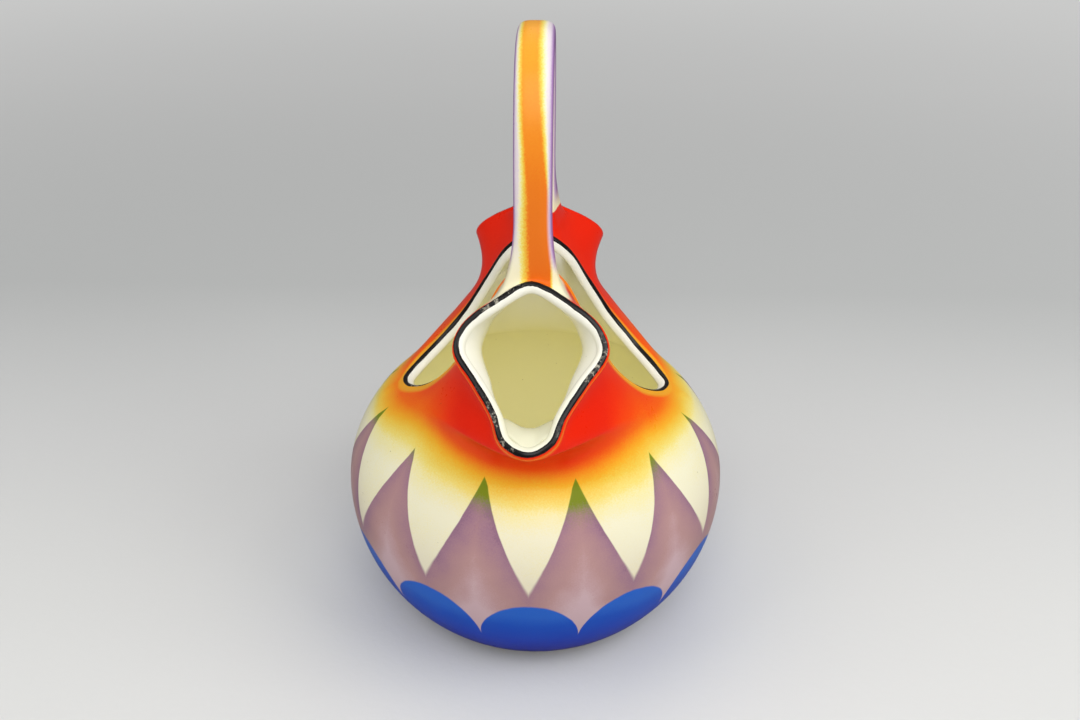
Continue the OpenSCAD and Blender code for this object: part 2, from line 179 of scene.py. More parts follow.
def ahead_on(at, u, last):
    """Short step along an outline at each place."""
    return at(np.minimum(u + STEP, last)) - at(np.maximum(u - STEP, 0))


def mouth_side(u):
    """Direction out across the mouth's edge, along which its wall is thick."""
    ahead = ahead_on(mouth_at, u, MOUTH_LAST)
    ahead[(u <= 0) | (u >= MOUTH_LAST), 1:] = 0
    return unit(np.cross(ahead, MOUTH_OUT))


def lip_at(u):
    return curve(LIP_KEYS, u)


def lip_along(u):
    """Direction along the opening's edge, square to the middle planes at its ends."""
    ahead = unit(ahead_on(lip_at, u, LIP_LAST))
    ahead[u <= 0] = [0, -1, 0]
    ahead[u >= LIP_LAST] = [-1, 0, 0]
    return ahead


def lip_face(u):
    """Direction out across the opening's edge, along which its wall is thick."""
    low_face = unit(np.array([1, 0, -JOINT_DRAW]))
    lean = mix(low_face, np.array([0, 0, 1]), (u / LIP_LAST)[:, None])
    ahead = lip_along(u)
    return unit(lean - ahead * (lean * ahead).sum(1, keepdims=True))


def lip_swell(u):
    """Direction in which the opening's edge is rounded."""
    return np.cross(lip_along(u), lip_face(u))


def half_round(start, end, swell, grow, angles, depth=1):
    """Half-rounds from start to end points that swell along the given directions: one row for each pair."""
    mid, side = (start + end) / 2, unit(start - end)
    r = np.linalg.norm(start - end, axis=1)[:, None, None] / 2
    angles = np.broadcast_to(angles, (len(start), np.shape(angles)[-1]))[..., None]
    return (mid[:, None] + side[:, None] * (r + grow) * np.cos(angles)
            + swell[:, None] * (r * depth + grow) * np.sin(angles))


def seam(low_r, high):
    """Points from the joint up to the opening's lowest place, in the plane between the spouts."""
    v = (np.arange(SEAM_N) / SEAM_N)[:, None]
    rise = high[2] - JOINT_Z
    straight = low_r + JOINT_DRAW * rise
    return np.hstack([mix(low_r, straight, v) + (high[0] - straight) * v ** 2, 0 * v, JOINT_Z + rise * v])


def cove(low, high, flare, shares):
    """Points from the joint up to the pouring tip, in the middle plane of a spout."""
    v = (np.arange(LOW_N) / LOW_N)[:, None]
    reach = np.linalg.norm(high - low)
    tip_dir = np.cos(flare) * MOUTH_OUT - np.sin(flare) * MOUTH_UP
    joint_dir = unit(np.array([0, -JOINT_DRAW, 1]))
    return (low * (2 * v ** 3 - 3 * v ** 2 + 1) + high * (3 * v ** 2 - 2 * v ** 3)
            + joint_dir * reach * shares[0] * (v ** 3 - 2 * v ** 2 + v)
            + tip_dir * reach * shares[1] * (v ** 3 - v ** 2))


ACROSS = np.sin(ACROSS_ANGLE * np.arange(ACROSS_N + 1) / ACROSS_N) / np.sin(ACROSS_ANGLE)


def wall(row_from, row_to, spread_most, spread_late):
    """Points of one skin of a spout's right half: rows from opening to mouth, from the joint up."""
    spread = np.minimum(spread_most, row_to[:, :1] * SPREAD_SHARE)
    neck = row_to[:, :1] - spread
    share = eased(np.arange(ROW_N + 1)[:, None], 0, LOW_N)
    power = mix(ROUND_POWER, DRAWN_POWER, share)
    gutter = np.maximum(0, (GUTTER_R * share) ** 2 - neck ** 2)
    m = ACROSS[None]
    near = (1 - m ** power[:, :1]) ** power[:, 1:]
    x = np.sqrt(row_from[:, :1] ** 2 * near + neck ** 2 * (1 - near) + gutter * 4 * m ** 2 * (1 - m ** 2))
    x = x + spread * m ** spread_late
    x[-1] = 0
    points = mix(row_from[:, None], row_to[:, None], m[..., None])
    points[..., 0] = x
    points[:, 0], points[:, -1] = row_from, row_to
    part = (1 - (np.arange(ACROSS_N + 1) / ACROSS_N) ** EVEN_LATE)[None, 1:, None] / 2
    for _ in range(EVEN_TIMES * FINE ** 2):
        mean = (points[:LOW_N - 1, 1:] + points[2:LOW_N + 1, 1:]) / 2
        points[1:LOW_N, 1:] = mix(points[1:LOW_N, 1:], mean, part)
    return points


def gutter_sides(points):
    """Lifts the sides of the pouring gutter inside a mouth, which is round across."""
    over = np.maximum(0, points[..., 0] - points[:, -1:, 0]) / GUTTER_R
    row = np.arange(ROW_N + 1)[:, None]
    near = (eased(row / LOW_N, *GUTTER_LOW) * (1 - eased((row - LOW_N) / MOUTH_N, *GUTTER_HIGH))
            * eased(ACROSS, *GUTTER_ACROSS) * (1 - eased(points[..., 0], *GUTTER_SIDES)))
    points[..., 2] += GUTTER_LIFT * near * over ** 2 / (1 + over ** 2)
    return points


lip_u = np.concatenate([TIP_PLACE * np.arange(COVE_N) / COVE_N,
                        mix(TIP_PLACE, LIP_LAST, 1 - (1 - np.arange(MOUTH_N + 1) / MOUTH_N) ** LIP_CROWDING)])
mouth_u = MOUTH_LAST * (1 - (1 - np.arange(MOUTH_N + 1) / MOUTH_N) ** MOUTH_CROWDING)
lip_out, mouth_out = lip_at(lip_u), mouth_at(mouth_u)
lip_in = lip_out - lip_face(lip_u) * LIP_T + lip_swell(lip_u) * LIP_BEVEL
lip_rise = np.cross(lip_along(lip_u), unit(lip_out - lip_in))
mouth_in = mouth_out - mouth_side(mouth_u) * RIM_T
mouth_rise = np.broadcast_to(MOUTH_OUT, mouth_out.shape)
cove_out = cove(np.array([0, -JOINT_R, JOINT_Z]), mouth_out[0], TIP_FLARE, COVE_SHARES)
cove_in = cove(np.array([0, -JOINT_IN_R, JOINT_Z]), mouth_in[0], TIP_FLARE_IN, COVE_SHARES_IN)
wall_out = wall(np.vstack([seam(JOINT_R, lip_out[0]), lip_out]), np.vstack([cove_out, mouth_out]),
                MOUTH_SPREAD, SPREAD_LATE)
wall_in = gutter_sides(wall(np.vstack([seam(JOINT_IN_R, lip_in[0]), lip_in]), np.vstack([cove_in, mouth_in]),
                            MOUTH_SPREAD_IN, SPREAD_LATE_IN))

ROUND_ANGLES = np.linspace(0, np.pi, ROUND_N + 1)
LIP_ROUNDS = half_round(lip_in, lip_out, lip_rise, 0, ROUND_ANGLES, LIP_DEPTH)
MOUTH_ROUNDS = half_round(mouth_out, mouth_in, mouth_rise, 0, ROUND_ANGLES)
FLIP_X = np.array([-1, 1, 1])
FLIP_Y = np.array([1, -1, 1])
HALF_TURN = np.array([-1, -1, 1])


class Skin:
    """One welded clay skin, whose faces know the solid that they belong to and their finish."""

    def __init__(self):
        self.index, self.points, self.faces, self.owners, self.finishes = {}, [], [], [], []

    def point(self, p):
        key = tuple(np.round(p, 3) + 0.0)
        if key not in self.index:
            self.index[key] = len(self.points)
            self.points.append(np.array(p, float))
        return self.index[key]

    def grid(self, points, owner, finish, keep=None):
        """Quads of a grid of points, seen from outside with rows going up and columns going left."""
        ids = np.array([[self.point(p) for p in row] for row in points])
        for i in range(len(ids) - 1):
            for k in range(len(ids[0]) - 1):
                if keep is None or keep[i, k]:
                    corners = [ids[i, k], ids[i + 1, k], ids[i + 1, k + 1], ids[i, k + 1]]
                    corners = list(dict.fromkeys(corners))
                    if len(corners) > 2:
                        self.faces.append(corners)
                        self.owners.append(owner)
                        self.finishes.append(finish)

    def normals(self):
        """Unit normals of the welded points, so that no seam shows where two pieces meet."""
        points, total = np.array(self.points), np.zeros((len(self.points), 3))
        for face in self.faces:
            across = np.cross(points[face[2]] - points[face[0]], points[face[-1]] - points[face[1]])
            total[face] += across
        return unit(total)


def both_sides(skin, grid, owner, finish, turn, keep=None):
    """A grid of a spout's right half and its mirror image, turned to the front or the rear."""
    skin.grid(grid * turn, owner, finish, keep)
    skin.grid((grid * FLIP_X * turn)[:, ::-1], owner, finish, None if keep is None else keep[:, ::-1])


def spout_skin(skin, owner, turn):
    """Both skins and both rounded edges of a spout, left open where the handle stands."""
    row, col = np.mgrid[0:ROW_N, 0:ACROSS_N]
    foot = (row >= ROW_N - ROOT_SIDE_N) & (col >= ROOT_LIP_FREE) & (col < ACROSS_N - ROOT_MOUTH_FREE)
    both_sides(skin, wall_out, owner, "outside", turn, ~foot)
    both_sides(skin, wall_in[:, ::-1], owner, "inside", turn)
    place = np.arange(ROUND_N)[None] / ROUND_N
    lip_cut = LIP_CUT + LIP_CUT_SHIFT * eased(lip_out[:-1, 2:], *NEAR_LIP_TURNS) * (turn[1] > 0)
    both_sides(skin, LIP_ROUNDS, owner, "inside", turn, place < lip_cut)
    both_sides(skin, LIP_ROUNDS, owner, "outside", turn, place >= lip_cut)
    mouth_cut = MOUTH_CUT + MOUTH_CUT_SHIFT * eased(mouth_out[:-1, 2:], *REAR_MOUTH_TURNS) * (turn[1] < 0)
    both_sides(skin, MOUTH_ROUNDS, owner, "outside", turn, place < mouth_cut)
    both_sides(skin, MOUTH_ROUNDS, owner, "inside", turn, place >= mouth_cut)


def bowl_skin(skin):
    """Bowl of revolution with softened corners under the foot and round the floor."""
    level = np.linspace(JOINT_Z, FOOT_H, BOWL_N + 1)
    outside = np.stack([bowl_at(level, 0), level], 1)
    bottom_r = outside[-1, 0]
    outside = np.vstack([outside[outside[:, 1] > FOOT_H + CORNER_R],
                         [[bottom_r - 0.1 * CORNER_R, FOOT_H + 0.3 * CORNER_R], [bottom_r - CORNER_R, FOOT_H],
                          [bottom_r / 2, FOOT_H], [0, FOOT_H]]])
    floor = FOOT_H + FLOOR_T
    level = np.linspace(floor, JOINT_Z, BOWL_N + 1)
    inside = np.stack([bowl_at(level, WALL), level], 1)
    floor_edge = inside[0, 0]
    inside[:, 0] -= FLOOR_R * np.clip((floor + FLOOR_R / 2 - inside[:, 1]) / FLOOR_R, 0, 1) ** 2
    inside = np.vstack([[[0, floor], [floor_edge / 2, floor]], inside])
    quarter = np.stack([np.sqrt(1 - ACROSS ** 2), -ACROSS], 1)
    front = np.vstack([quarter, quarter[-2::-1] * [-1, 1]])
    ring = np.vstack([front, front[1:] * [-1, -1]])
    for profile, finish in ((outside[::-1], "outside"), (inside[::-1], "inside")):
        grid = np.array([[[r * x, r * y, z] for x, y in ring] for r, z in profile])
        skin.grid(grid, "bowl", finish)


def softened(v, power):
    return np.sign(v) * np.abs(v) ** power


def handle_rings():
    """Cross-sections of the hoop from the front foot to the rear foot, with the place round each."""
    low, high = ROOT_LIP_FREE, ACROSS_N - ROOT_MOUTH_FREE
    rows, side = high - low, ROOT_SIDE_N

    def on_wall(i, k):
        p = wall_out[ROW_N - abs(i), k]
        return p if i >= 0 else p * FLIP_X

    border = np.array([on_wall(i, high) for i in range(side)]
                      + [on_wall(side, k) for k in range(high, low, -1)]
                      + [on_wall(i, low) for i in range(side, -side, -1)]
                      + [on_wall(-side, k) for k in range(low, high)]
                      + [on_wall(i, high) for i in range(-side, 0)])
    angles = np.radians(np.concatenate([90 - 45 * np.arange(side) / side, 45 - 90 * np.arange(rows) / rows,
                                        -45 - 90 * np.arange(2 * side) / (2 * side),
                                        -135 - 90 * np.arange(rows) / rows,
                                        -225 - 45 * np.arange(side) / side]))
    across, outward = softened(np.cos(angles), SECTION_POWER), softened(np.sin(angles), SECTION_POWER)
    low_z = border[:, 2].max() + HANDLE_SPREAD_H
    rise = HANDLE_TOP_Z - HANDLE_D / 2 - low_z

    def middle(a):
        return np.array([0, -HANDLE_LEG_Y * softened(np.cos(a), HOOP_POWER),
                         low_z + rise * softened(np.sin(a), HOOP_POWER)])

    def section(a):
        ahead = unit(middle(min(a + STEP, np.pi)) - middle(max(a - STEP, 0)))
        if a <= 0 or a >= np.pi:
            ahead = np.array([0, 0, 1.0 if a <= 0 else -1.0])
        out = np.cross([1, 0, 0], ahead)
        return (middle(a) + np.array([HANDLE_W / 2, 0, 0]) * across[:, None]
                + out * HANDLE_D / 2 * outward[:, None])

    leg = section(0)
    foot = []
    for v in np.arange(HOOP_SPREAD_N) / HOOP_SPREAD_N:
        ring = mix(border, leg, 1 - (1 - v) ** SPREAD_POWER)
        ring[:, 2] = mix(border[:, 2], leg[:, 2], v)
        foot.append(ring)
    hoop = [section(np.pi * i / HOOP_N) for i in range(HOOP_N + 1)]
    return np.array(foot + hoop + [ring * FLIP_Y for ring in foot[::-1]]), across, outward


def closed(rings):
    return np.concatenate([rings, rings[:, :1]], 1)


def gap_to(points, line):
    """Distance of each point from the nearest point of a line."""
    return np.concatenate([np.linalg.norm(part[:, None] - line[None], axis=2).min(1)
                           for part in np.array_split(points, len(points) // CHUNK + 1)])


skin = Skin()
bowl_skin(skin)
spout_skin(skin, "front_spout", np.ones(3))
spout_skin(skin, "rear_spout", HALF_TURN)
hoop_rings, hoop_across, hoop_outward = handle_rings()
skin.grid(closed(hoop_rings)[:, ::-1], "handle", "hoop")


def soften_feet(skin):
    """Eases the corner all round the handle's feet, as wet clay is smoothed with a finger; edges stay put."""
    points = np.array(skin.points)
    near = np.minimum(gap_to(points, hoop_rings[0]), gap_to(points, hoop_rings[-1]))
    edges = {tuple(sorted(pair)) for face in skin.faces for pair in zip(face, face[1:] + face[:1])}
    edges = np.array([e for e in edges if near[list(e)].max() < 2 * EASE_REACH])
    share = np.clip(1 - near / EASE_REACH, 0, 1)[:, None] * EASE_SHARE
    held = {p for face, finish in zip(skin.faces, skin.finishes) if finish == "inside" for p in face}
    share[list(held)] = 0
    rims = np.vstack([LIP_ROUNDS.reshape(-1, 3), MOUTH_ROUNDS.reshape(-1, 3)])
    for turn in (np.ones(3), FLIP_X, FLIP_Y, HALF_TURN):
        share[[skin.point(p) for p in rims * turn]] = 0
    count = np.maximum(np.bincount(edges.ravel(), minlength=len(points)), 1)[:, None]
    for _ in range(EASE_TIMES):
        total = np.zeros_like(points)
        np.add.at(total, edges[:, 0], points[edges[:, 1]])
        np.add.at(total, edges[:, 1], points[edges[:, 0]])
        points = mix(points, np.where(count > 2, total / count, points), share)
    skin.points = list(points)


ring_ids = [[skin.point(p) for p in ring] for ring in hoop_rings]
soften_feet(skin)
skin_points, skin_normals = np.array(skin.points), skin.normals()


def outline(at, last):
    """Points along an edge of the front spout and the same edge of the rear spout."""
    right = at(np.linspace(0, last, OUTLINE_N))
    front = np.vstack([right, right * FLIP_X])
    return np.vstack([front, front * FLIP_Y])


# Heights at which the sprayed colour begins and turns yellow, orange, red and full red, by the angle from a
# spout's middle; they sway a little round the jug
SPRAY_TURNS = [0, 14, 24, 36, 48, 62, 76, 90]
SPRAY_LEVELS = [0, 0.1, 0.4, 0.7, 1]
SPRAY_HEIGHTS = [[84, 85, 86, 87, 93, 92, 90, 89], [92, 93, 94, 95, 100, 99.5, 97.5, 97],
                 [101, 102, 104, 108, 109, 106, 104, 103.5], [108, 109, 111.5, 116, 116, 112, 110, 109],
                 [119, 121, 130, 150, 158, 158, 155, 150]]
SPRAY_SWAY, SPRAY_WAVES = 1.5, 3
# Reach of the handle's colours from its foot, to the left and to the right
WEB_FROM, WEB_LEFT, WEB_RIGHT = 1.5, 13, 8


def spray_at(p):
    """How heavily red was sprayed: 0 on the cream body, 1 on the spouts, further down under each mouth."""
    turn = np.degrees(np.arctan2(np.abs(p[:, 0]), np.abs(p[:, 1])))
    z = p[:, 2] + SPRAY_SWAY * np.sin(np.arctan2(p[:, 0], -p[:, 1]) * SPRAY_WAVES)
    heights = [np.interp(turn, SPRAY_TURNS, h) for h in SPRAY_HEIGHTS]
    level = np.zeros(len(p))
    for low, high, start, end in zip(heights, heights[1:], SPRAY_LEVELS, SPRAY_LEVELS[1:]):
        part = np.clip((z - low) / (high - low), 0, 1)
        level += (end - start) * (part * (2 - part) if end == 1 else part)
    return level


foot_gap = gap_to(skin_points, skin_points[ring_ids[0]])
web_reach = np.where(skin_points[:, 0] < 0, WEB_LEFT, WEB_RIGHT)
skin_values = {"spray": spray_at(skin_points),
               "mouth_gap": gap_to(skin_points, outline(mouth_at, MOUTH_LAST)),
               "lip_gap": gap_to(skin_points, outline(lip_at, LIP_LAST)),
               "across": np.zeros(len(skin_points)), "outward": np.zeros(len(skin_points)),
               "foot": np.clip(1 - (foot_gap - WEB_FROM) / web_reach, 0, 1)}
for ids in ring_ids:
    skin_values["across"][ids], skin_values["outward"][ids] = hoop_across, hoop_outward


def make_piece(name, points, faces, normals, values, finishes, materials):
    """Smooth mesh in metres with welded normals, named values on its points and a finish on each face."""
    mesh = bpy.data.meshes.new(name)
    mesh.from_pydata((points * MM).tolist(), [], faces)
    for value_name, value in values.items():
        attribute = mesh.attributes.new(value_name, "FLOAT", "POINT")
        attribute.data.foreach_set("value", np.asarray(value, np.float32))
    for material in materials.values():
        mesh.materials.append(material)
    order = list(materials)
    mesh.polygons.foreach_set("material_index", [order.index(finish) for finish in finishes])
    mesh.polygons.foreach_set("use_smooth", [True] * len(faces))
    mesh.update()
    mesh.normals_split_custom_set_from_vertices(normals.tolist())
    piece = bpy.data.objects.new(name, mesh)
    scene.collection.objects.link(piece)
    return piece


def skin_piece(owner, materials):
    """The faces of the skin that belong to one solid, which stand for its node."""
    picked = [i for i, o in enumerate(skin.owners) if o == owner]
    used = sorted({p for i in picked for p in skin.faces[i]})
    place = {p: i for i, p in enumerate(used)}
    faces = [[place[p] for p in skin.faces[i]] for i in picked]
    finishes = [skin.finishes[i] for i in picked]
    piece = make_piece(owner + "_glazed", skin_points[used], faces, skin_normals[used],
                       {k: v[used] for k, v in skin_values.items()}, finishes,
                       {f: materials[f] for f in dict.fromkeys(finishes)})
    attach(piece, "root")
    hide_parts(owner)


def colour(code):
    """Linear colour of a hexadecimal code."""
    parts = [int(code[i:i + 2], 16) / 255 for i in (1, 3, 5)]
    return [c / 12.92 if c <= 0.04045 else ((c + 0.055) / 1.055) ** 2.4 for c in parts] + [1]


class Paint:
    """A material built from nodes, whose x, y and z are in millimetres.

    Arguments are numbers or other nodes' outputs, and colours may be hexadecimal codes.
    """

    def __init__(self, name, specular=0.2):
        self.material = bpy.data.materials.new(name)
        self.material.use_nodes = True
        self.tree = self.material.node_tree
        self.shader = self.tree.nodes["Principled BSDF"]
        self.shader.inputs["Specular IOR Level"].default_value = specular
        self.place = self.node("ShaderNodeTexCoord").outputs["Object"]
        axes = self.node("ShaderNodeSeparateXYZ", Vector=self.place)
        self.x, self.y, self.z = (self.times(axis, 1 / MM) for axis in axes.outputs)

    def put(self, socket, value):
        if isinstance(value, bpy.types.NodeSocket):
            self.tree.links.new(value, socket)
        else:
            socket.default_value = value

    def node(self, kind, **inputs):
        made = self.tree.nodes.new(kind)
        for name, value in inputs.items():
            self.put(made.inputs[name], value)
        return made

    def math(self, operation, *values):
        made = self.tree.nodes.new("ShaderNodeMath")
        made.operation = operation
        for socket, value in zip(made.inputs, values):
            self.put(socket, value)
        return made.outputs[0]

    def sum(self, first, *others):
        for other in others:
            first = self.math("ADD", first, other)
        return first

    def times(self, first, *others):
        for other in others:
            first = self.math("MULTIPLY", first, other)
        return first

    def less(self, a, b):
        return self.math("SUBTRACT", a, b)

    def least(self, a, b):
        return self.math("MINIMUM", a, b)

    def most(self, a, b):
        return self.math("MAXIMUM", a, b)

    def rise(self, value, low, high, start=0.0, end=1.0):
        """Smooth step from start to end while a value goes from low to high."""
        made = self.tree.nodes.new("ShaderNodeMapRange")
        made.interpolation_type = "SMOOTHSTEP"
        for socket, v in zip(made.inputs, (value, low, high, start, end)):
            self.put(socket, v)
        return made.outputs[0]

    def ramp(self, value, stops):
        made = self.node("ShaderNodeValToRGB", Fac=value)
        keys = made.color_ramp.elements
        while len(keys) < len(stops):
            keys.new(0.5)
        for key, (position, code) in zip(keys, stops):
            key.position, key.color = position, colour(code)
        return made.outputs[0]

    def mix(self, share, a, b):
        made = self.tree.nodes.new("ShaderNodeMix")
        made.data_type = "RGBA"
        self.put(made.inputs[0], share)
        for socket, v in ((made.inputs[6], a), (made.inputs[7], b)):
            self.put(socket, colour(v) if isinstance(v, str) else v)
        return made.outputs[2]

    def value(self, name):
        made = self.tree.nodes.new("ShaderNodeAttribute")
        made.attribute_name = name
        return made.outputs["Fac"]

    def noise(self, scale, detail=2.0, roughness=0.5):
        return self.node("ShaderNodeTexNoise", Vector=self.place, Scale=scale, Detail=detail,
                         Roughness=roughness).outputs["Fac"]

    def grain(self, scale, size, detail=2.0):
        """Noise about zero."""
        return self.times(self.less(self.noise(scale, detail), 0.5), size)

    def relief(self, *layers):
        """Height of an uneven surface: noises, each with its scale and share."""
        return self.sum(*[self.times(self.noise(scale), share) for scale, share in layers])

    def specks(self, scale, radius, rarity=0.8):
        """Sparse round specks: 1 inside, 0 outside."""
        cells = self.node("ShaderNodeTexVoronoi", Vector=self.place, Scale=scale)
        chance = self.node("ShaderNodeSeparateColor", Color=cells.outputs["Color"]).outputs[0]
        return self.times(self.math("GREATER_THAN", chance, rarity),
                          self.rise(cells.outputs["Distance"], radius, radius * 0.4))

    def finish(self, base, rough, bump, depth=0.0003):
        self.put(self.shader.inputs["Base Color"], base)
        self.put(self.shader.inputs["Roughness"], rough)
        relief = self.node("ShaderNodeBump", Height=bump, Distance=depth, Strength=1.0)
        self.put(self.shader.inputs["Normal"], relief.outputs[0])
        return self.material


# Glazes: colours along each change, then single colours
FULL_RED = "#e62002"
SPRAY_STOPS = [(0, "#ece7c8"), (0.1, "#ece2a4"), (0.2, "#ebd672"), (0.31, "#ebc44a"), (0.41, "#eeae2c"),
               (0.52, "#f1961d"), (0.64, "#f37410"), (0.77, "#f14b06"), (0.9, "#ee3003"), (1, FULL_RED)]
STRIPE_STOPS = [(0.4, "#ed992a"), (0.52, "#edb43a"), (0.62, "#edcf55"), (0.74, "#f0e28a"), (0.88, "#efe8cc"),
                (1, "#e3d6db")]
CORE_STOPS = [(0, "#e46a14"), (0.5, "#ea7a18"), (1, "#eea42c")]
MAUVE_STOPS = [(0, "#8f6a80"), (0.1, "#9c7686"), (0.3, "#a98286"), (0.55, "#b28b89"), (0.8, "#bd9a9c"),
               (1, "#c7a9ae")]
BLUE_AND_SHADE_STOPS = [(0, "#05084a"), (0.15, "#060d86"), (0.32, "#0920a4"), (0.6, "#0c3db4"), (0.85, "#124db8"),
              (1, "#2660c0")]
INSIDE_AND_BOUNCE_STOPS = [(0, "#f2f0e4"), (0.1, "#f1eede"), (0.2, "#f6f3de"), (0.5, "#fdfae0"), (1, "#fffcd8")]
LILAC_STOPS = [(0, "#f0e9cc"), (0.1, "#efe6cc"), (0.18, "#c3a5c6"), (0.32, "#8e5f9c"), (0.5, "#9a70a6"),
               (0.68, "#85559a"), (0.84, "#ab83b9"), (0.93, "#dccbdc"), (1, "#f1ebd0")]
ENAMEL_STOPS = [(0.3, "#0a0a0b"), (0.7, "#1a1817")]
CLAY_STOPS = [(0.25, "#b9a27c"), (0.5, "#d2bf99"), (0.75, "#e3d5b4")]
WEB_EDGE, MIST_AND_SHADE, OLIVE, OUTER_SPECK = "#ee6a16", "#bda3a2", "#77861a", "#4a3a28"
GUTTER_SHADE, INNER_SPECK = "#e6e3c6", "#6b5a3c"
FOOT_CREAM, WORN_AND_SHEEN_ENAMEL, GLAZE_RUN = "#f2e6b8", "#a39d8c", "#0b1166"

# Zigzag and scallops: how many, and their heights
TEETH, TOOTH_TIP_Z, TOOTH_H = 12, 104, 44
SCALLOP_LOW_Z, SCALLOP_H, BLUE_TOP_Z = 29, 24, 46
# Heights between which the stripe's core changes colour
CORE_LOW_Z, CORE_H = 165, 100
# Worn places of the black lines and their reach; the one at the front mouth's right is partly a painted sheen
WORN_AND_SHEEN_SPOTS = [((-12, -45, 172), 12), ((27, -62, 152), 14), ((-22, -72, 143), 6)]


def stripe(p):
    """The handle's orange stripe: upwards it goes left, narrows and turns yellower; its left side fades."""
    middle = p.rise(p.z, 185, 262, 0.38, -0.2)
    half = p.rise(p.z, 190, 245, 0.55, 0.4)
    off = p.less(p.times(p.x, 2 / HANDLE_W), middle)
    left = p.times(p.sum(off, half), p.rise(p.z, 190, 235, -0.95, -1.7))
    # Paler towards the top and, there, wider pale on the right: partly the paint's own change, partly a
    # painted highlight
    right = p.times(p.less(off, half), p.rise(p.z, 190, 262, 3, 1.1))
    grain = p.sum(p.grain(1500, 0.3), p.grain(70, 0.16))
    fade = p.sum(p.most(left, right), 0.42, p.rise(p.z, 225, 290, -0.05, 0.12), grain)
    core = p.ramp(p.sum(p.times(p.z, 1 / CORE_H), -CORE_LOW_Z / CORE_H, p.times(grain, 0.6)), CORE_STOPS)
    edge = p.ramp(p.least(fade, p.rise(p.z, 178, 200, 0.86, 1)), STRIPE_STOPS)
    return p.mix(p.rise(fade, 0.28, 0.5), core, edge)


def spray_level(p, speckle):
    """Level of the sprayed colour, thinner in a narrow line along the edges."""
    level = p.sum(p.value("spray"), speckle, p.grain(42, 0.16, 3))
    lip_width = p.sum(4.5, p.times(p.rise(p.y, 5, -5), 2))
    lip_level = p.rise(p.z, 118, 150, 0.45, p.rise(p.y, -5, 5, 0.6, 0.95))
    mouth_level = p.rise(p.y, 0, 10, 0.66, 1)
    edge = p.least(p.rise(p.value("lip_gap"), 0.8, lip_width, lip_level, 1),
                   p.rise(p.value("mouth_gap"), 0.5, 2.2, mouth_level, 1))
    return p.least(level, p.sum(edge, speckle))


def sprayed_glaze():
    p = Paint("sprayed_glaze", 0.12)
    speckle = p.grain(1700, 0.16)
    level = spray_level(p, speckle)
    base = p.ramp(level, SPRAY_STOPS)
    # The handle's stripe runs down between its foot and the mouth
    web = p.mix(p.times(p.rise(p.value("lip_gap"), 2, 0.8), 0.85), stripe(p), WEB_EDGE)
    base = p.mix(p.rise(p.sum(p.value("foot"), p.times(speckle, 0.8)), 0.15, 0.6), base, web)
    # Mauve mist over the cream, thicker towards the bottom: partly overspray, partly painted shade of the
    # lower body
    mist_and_shade = p.times(p.rise(p.sum(p.z, p.grain(30, 14), p.grain(1800, 10)), 96, 46), 0.3)
    base = p.mix(mist_and_shade, base, MIST_AND_SHADE)
    # Even zigzag of mauve teeth, crisp at the tips and softer in the hollows, olive where it meets the yellow
    turn = p.times(p.math("ARCTAN2", p.x, p.y), TEETH / (2 * np.pi))
    tooth = p.times(p.math("ABSOLUTE", p.less(p.math("FRACT", turn), 0.5)), 2)
    wobble = p.grain(160, 1.0)
    within = p.times(p.sum(p.times(tooth, -TOOTH_H), TOOTH_TIP_Z, wobble, p.times(p.z, -1)), 0.4)
    cloud = p.sum(p.grain(26, 0.9, 3), p.grain(85, 0.5), p.grain(1900, 0.35))
    mauve = p.ramp(p.sum(p.times(within, 1 / 20), p.times(cloud, 0.8), 0.04), MAUVE_STOPS)
    mauve = p.mix(p.rise(level, 0.03, 0.24), mauve, OLIVE)
    soft = p.rise(p.z, 48, 80, 1.6, 0.3)
    base = p.mix(p.rise(within, p.times(soft, -0.6), soft), base, mauve)
    # Round blue scallops below it, darker towards the foot: a deeper blue glaze, and near-black navy at the
    # bottom as painted shade of the underside
    scallop = p.math("SQRT", p.less(1, p.math("POWER", p.less(1, tooth), 2)))
    under = p.less(p.sum(p.times(scallop, SCALLOP_H), SCALLOP_LOW_Z, wobble), p.z)
    blue = p.ramp(p.times(p.sum(p.z, p.grain(1500, 4), p.grain(60, 6)), 1 / BLUE_TOP_Z), BLUE_AND_SHADE_STOPS)
    base = p.mix(p.rise(under, -0.3, 0.8), base, blue)
    base = p.mix(p.times(p.specks(170, 0.06), 0.5), base, OUTER_SPECK)
    rough = p.sum(0.3, p.grain(35, 0.1), p.grain(700, 0.06))
    return p.finish(base, rough, p.relief((30, 0.6), (420, 0.05), (2200, 0.02)))


def inside_glaze():
    p = Paint("inside_glaze")
    to_mouth = p.value("mouth_gap")
    gap = p.least(p.value("lip_gap"), to_mouth)
    # Whiter near the edges, brighter and yellower deeper in: the deep colour is painted light, standing in
    # for light bouncing round inside
    base = p.ramp(p.times(p.sum(gap, p.grain(60, 3)), 1 / 60), INSIDE_AND_BOUNCE_STOPS)
    # Painted shade: a darker cream in the front pouring gutter
    gutter_shade = p.times(p.rise(to_mouth, 2, 6), p.rise(to_mouth, 36, 24), p.rise(p.z, 150, 138),
                     p.rise(p.y, 0, -10))
    base = p.mix(gutter_shade, base, GUTTER_SHADE)
    base = p.mix(p.times(p.specks(230, 0.08), 0.45), base, INNER_SPECK)
    rough = p.sum(0.22, p.grain(40, 0.1))
    return p.finish(base, rough, p.relief((45, 0.6), (500, 0.06)))


